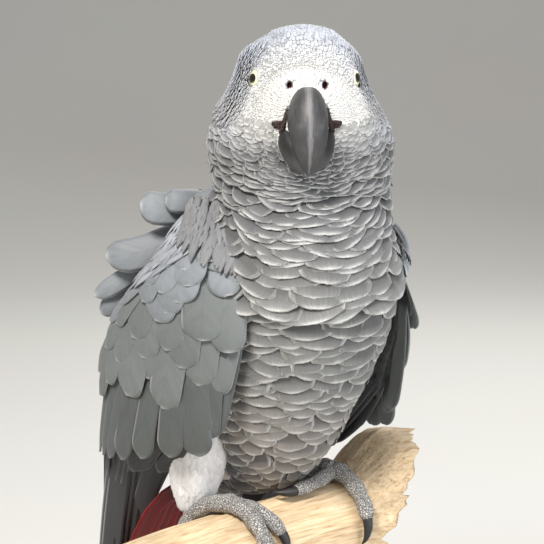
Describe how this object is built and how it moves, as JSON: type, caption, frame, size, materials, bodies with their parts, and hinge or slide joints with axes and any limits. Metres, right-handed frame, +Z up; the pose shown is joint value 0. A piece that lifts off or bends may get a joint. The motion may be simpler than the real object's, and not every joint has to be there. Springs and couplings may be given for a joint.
{
  "type": "perched grey parrot model",
  "caption": "Life-size grey parrot gripping a cut length of branch, held by rods on a round display base.",
  "frame": {"origin": "centre of the base's underside, below the middle of the bird's two footholds", "axes": "+Z up; the bird's head looks along -Y, turned 4 degrees towards +X; the trunk faces 35 degrees towards +X; the branch runs from near -X to far +X"},
  "size_m": [0.1702, 0.1966, 0.336],
  "materials": {
    "grey_plumage": "soft overlapping grey feathers with pale edges, almost white on the face",
    "white_plumage": "soft white feathers",
    "grey_vane": "smooth satin flight feathers",
    "red_vane": "smooth satin tail feathers",
    "bill_horn": "dark horn, satin",
    "claw_horn": "black horn, satin",
    "eye_glass": "polished, with a pale yellow iris and a black pupil behind the surface",
    "scaly_skin": "pale grey scales with dark creases",
    "branch_wood": "bare, weathered, splintered at one end",
    "base_lacquer": "black satin lacquer",
    "rod_steel": "brushed"
  },
  "bodies": {
    "root": {"belly": "grey_plumage", "bill_lower": "bill_horn", "bill_upper": "bill_horn", "breast": "grey_plumage", "claw_left_1": "claw_horn", "claw_left_2": "claw_horn", "claw_left_3": "claw_horn", "claw_left_4": "claw_horn", "claw_right_1": "claw_horn", "claw_right_2": "claw_horn", "claw_right_3": "claw_horn", "claw_right_4": "claw_horn", "eye_left": "eye_glass", "eye_right": "eye_glass", "foot_left": "scaly_skin", "foot_right": "scaly_skin", "head": "grey_plumage", "neck": "grey_plumage", "perch": "branch_wood", "scapulars_right": "grey_vane", "stand_base": "base_lacquer", "stand_rod_1": "rod_steel", "stand_rod_2": "rod_steel", "tail": "red_vane", "tail_coverts": "grey_plumage", "thigh_left": "white_plumage", "thigh_right": "white_plumage", "wing_left_coverts": "grey_vane", "wing_left_primaries": "grey_vane", "wing_left_secondaries": "grey_vane", "wing_right_coverts": "grey_vane", "wing_right_primaries": "grey_vane", "wing_right_secondaries": "grey_vane"}
  },
  "joints": []
}
